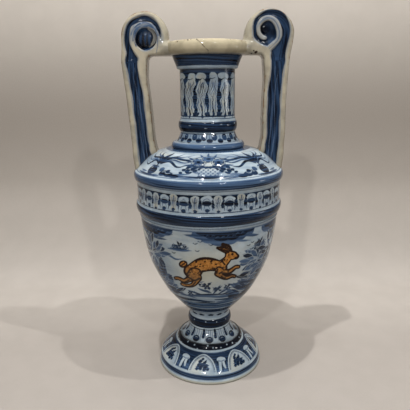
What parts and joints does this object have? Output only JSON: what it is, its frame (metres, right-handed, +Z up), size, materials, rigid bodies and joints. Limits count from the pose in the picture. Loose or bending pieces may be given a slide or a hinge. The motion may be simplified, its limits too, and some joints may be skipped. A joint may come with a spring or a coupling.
{
  "type": "amphora vase",
  "caption": "Two-handled amphora vase in tin-glazed earthenware: thick rim, straight neck, domed shoulder, tapering belly on a flared foot, and strap handles that end in scrolls.",
  "frame": {"origin": "centre of the foot's resting ring, at table level", "axes": "+Z up along the turning axis, +X towards the right handle, -Y towards the viewer of the picture"},
  "size_m": [0.178, 0.1654, 0.3997],
  "materials": {
    "blue_and_white_glaze": "glossy tin glaze, bluish white, painted in cobalt",
    "cobalt_glaze": "glossy tin glaze brushed over with dark cobalt",
    "cream_glaze": "glossy cream tin glaze, worn brown at the edges"
  },
  "bodies": {
    "root": {"pedestal_foot": "blue_and_white_glaze", "pedestal_cone": "blue_and_white_glaze", "stem_knob": "cobalt_glaze", "belly": "blue_and_white_glaze", "frieze_band": "blue_and_white_glaze", "shoulder": "blue_and_white_glaze", "neck_collar": "blue_and_white_glaze", "neck": "blue_and_white_glaze", "capital": "cobalt_glaze", "mouth_rim": "cream_glaze", "left_handle_strap": "cobalt_glaze", "right_handle_strap": "cobalt_glaze", "left_handle_scroll": "cream_glaze", "right_handle_scroll": "cream_glaze"}
  },
  "joints": []
}
